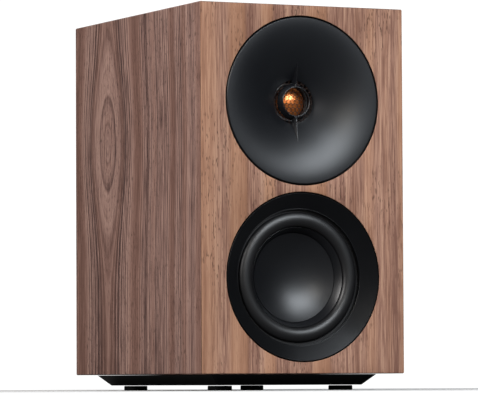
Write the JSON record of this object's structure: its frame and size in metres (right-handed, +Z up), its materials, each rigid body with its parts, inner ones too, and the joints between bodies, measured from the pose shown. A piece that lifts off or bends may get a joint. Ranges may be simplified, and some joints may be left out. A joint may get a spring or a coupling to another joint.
{
  "type": "bookshelf speaker",
  "caption": "Two-way bass-reflex bookshelf loudspeaker: round waveguide tweeter above a cone woofer in a wood-veneered cabinet on a black plinth with feet.",
  "frame": {"origin": "on the floor plane under the feet, at the middle of the cabinet's footprint", "axes": "+Z up; the baffle with the drivers faces -Y; +X is to the right when looking at the baffle"},
  "size_m": [0.18, 0.252, 0.307],
  "materials": {
    "walnut_veneer": "satin lacquer",
    "fibreboard": "raw board",
    "wadding": "loose fibre",
    "satin_black_base": "satin",
    "black_rubber": "matt",
    "waveguide_plastic": "satin moulded",
    "trim_plastic": "satin turned",
    "guard_mesh": "black wire",
    "dome": "copper-coloured anodised",
    "cone": "satin polypropylene",
    "copper_wire": "enamelled copper",
    "plated_steel": "zinc plated",
    "ferrite": "matt ground",
    "basket_steel": "black powder coat",
    "spider_cloth": "resin-treated weave",
    "gold_plate": "gold plated",
    "red_knob_plastic": "gloss",
    "black_knob_plastic": "gloss",
    "circuit_board": "solder mask",
    "capacitor_sleeve": "sleeve",
    "resistor_ceramic": "raw ceramic",
    "lead_sleeve": "sleeving"
  },
  "bodies": {
    "cabinet": {"front_baffle": "walnut_veneer", "left_side_panel": "walnut_veneer", "right_side_panel": "walnut_veneer", "top_panel": "walnut_veneer", "bottom_panel": "walnut_veneer", "rear_panel": "walnut_veneer", "window_brace": "fibreboard", "damping_left": "wadding", "damping_right": "wadding", "base_plinth": "satin_black_base", "foot_1": "black_rubber", "foot_2": "black_rubber", "foot_3": "black_rubber", "foot_4": "black_rubber", "woofer_surround": "black_rubber", "tweeter_surround": "black_rubber", "woofer_gasket": "black_rubber", "waveguide": "waveguide_plastic", "phase_ring": "waveguide_plastic", "tweeter_faceplate": "waveguide_plastic", "tweeter_rear_chamber": "waveguide_plastic", "port_tube": "waveguide_plastic", "terminal_cup": "waveguide_plastic", "woofer_trim_ring": "trim_plastic", "tweeter_guard": "guard_mesh", "crossover_inductor": "copper_wire", "tweeter_top_plate": "plated_steel", "tweeter_yoke": "plated_steel", "woofer_top_plate": "plated_steel", "woofer_yoke": "plated_steel", "waveguide_screw_1": "plated_steel", "waveguide_screw_2": "plated_steel", "waveguide_screw_3": "plated_steel", "waveguide_screw_4": "plated_steel", "woofer_screw_1": "plated_steel", "woofer_screw_2": "plated_steel", "woofer_screw_3": "plated_steel", "woofer_screw_4": "plated_steel", "tweeter_screw_1": "plated_steel", "tweeter_screw_2": "plated_steel", "tweeter_magnet": "ferrite", "woofer_magnet": "ferrite", "woofer_basket": "basket_steel", "woofer_spider": "spider_cloth", "red_stud": "gold_plate", "black_stud": "gold_plate", "crossover_board": "circuit_board", "crossover_capacitor": "capacitor_sleeve", "crossover_resistor": "resistor_ceramic", "woofer_lead": "lead_sleeve", "tweeter_lead": "lead_sleeve"},
    "woofer_diaphragm": {"woofer_cone": "cone", "woofer_dust_bowl": "cone", "woofer_voice_coil": "copper_wire"},
    "tweeter_diaphragm": {"tweeter_dome": "dome", "tweeter_voice_coil": "copper_wire"},
    "red_clamp": {"red_washer": "gold_plate"},
    "red_terminal": {"red_knob": "red_knob_plastic"},
    "black_clamp": {"black_washer": "gold_plate"},
    "black_terminal": {"black_knob": "black_knob_plastic"}
  },
  "joints": [
    {"name": "woofer_excursion", "type": "slide", "parent": "cabinet", "child": "woofer_diaphragm", "axis": [0, -1, 0], "range_m": [-0.005, 0.005], "stiffness_N_per_m": 900, "deforming": ["woofer_surround", "woofer_spider"]},
    {"name": "tweeter_excursion", "type": "slide", "parent": "cabinet", "child": "tweeter_diaphragm", "axis": [0, -1, 0], "range_m": [-0.0004, 0.0004], "stiffness_N_per_m": 800, "deforming": ["tweeter_surround"]},
    {"name": "red_washer_slide", "type": "slide", "parent": "cabinet", "child": "red_clamp", "axis": [0, 1, 0], "range_m": [0, 0.0035]},
    {"name": "red_knob_turn", "type": "hinge", "parent": "red_clamp", "child": "red_terminal", "pos_m": [0.015, 0.096, 0.092], "axis": [0, 1, 0], "range_deg": [0, 1805]},
    {"name": "black_washer_slide", "type": "slide", "parent": "cabinet", "child": "black_clamp", "axis": [0, 1, 0], "range_m": [0, 0.0035]},
    {"name": "black_knob_turn", "type": "hinge", "parent": "black_clamp", "child": "black_terminal", "pos_m": [-0.015, 0.096, 0.092], "axis": [0, 1, 0], "range_deg": [0, 1805]}
  ],
  "couplings": [
    {"joint": "red_knob_turn", "follows": "red_washer_slide", "rad_per_m": 8976},
    {"joint": "black_knob_turn", "follows": "black_washer_slide", "rad_per_m": 8976}
  ]
}
